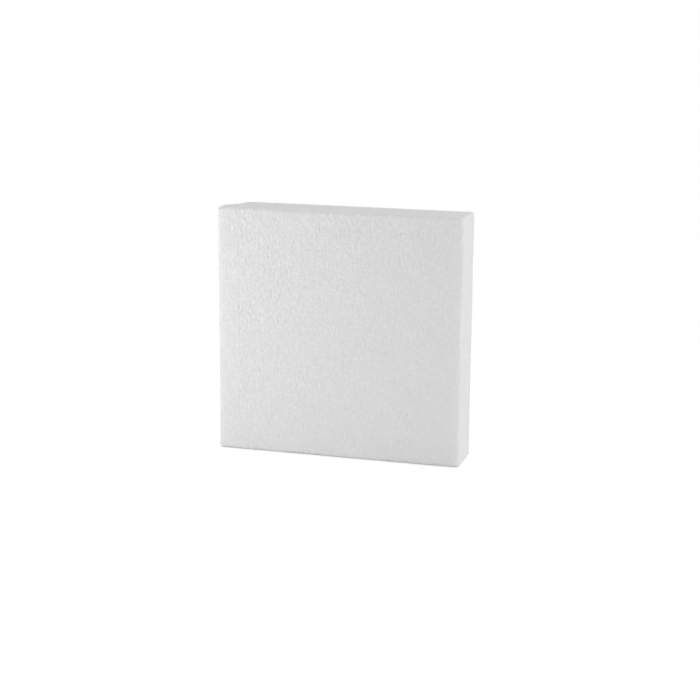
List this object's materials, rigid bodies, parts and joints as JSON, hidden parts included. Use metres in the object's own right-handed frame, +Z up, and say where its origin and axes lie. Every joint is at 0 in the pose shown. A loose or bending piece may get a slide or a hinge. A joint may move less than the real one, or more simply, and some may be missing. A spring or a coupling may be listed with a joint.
{
  "type": "foam block",
  "caption": "Square slab of white rigid bead foam with softly rounded edges and one knocked corner, standing on a narrow face.",
  "frame": {"origin": "middle of the narrow face that the block stands on, on the surface under it", "axes": "+Z up; +Y from the broad front face to the broad back face, through the thickness; +X along the width, to the right as seen from the front"},
  "size_m": [0.25, 0.049, 0.247],
  "materials": {
    "bead_foam": "matt white expanded bead foam, its face a fine pressed grain of 3 to 5 mm beads"
  },
  "bodies": {
    "root": {"foam_block": "bead_foam"}
  },
  "joints": []
}
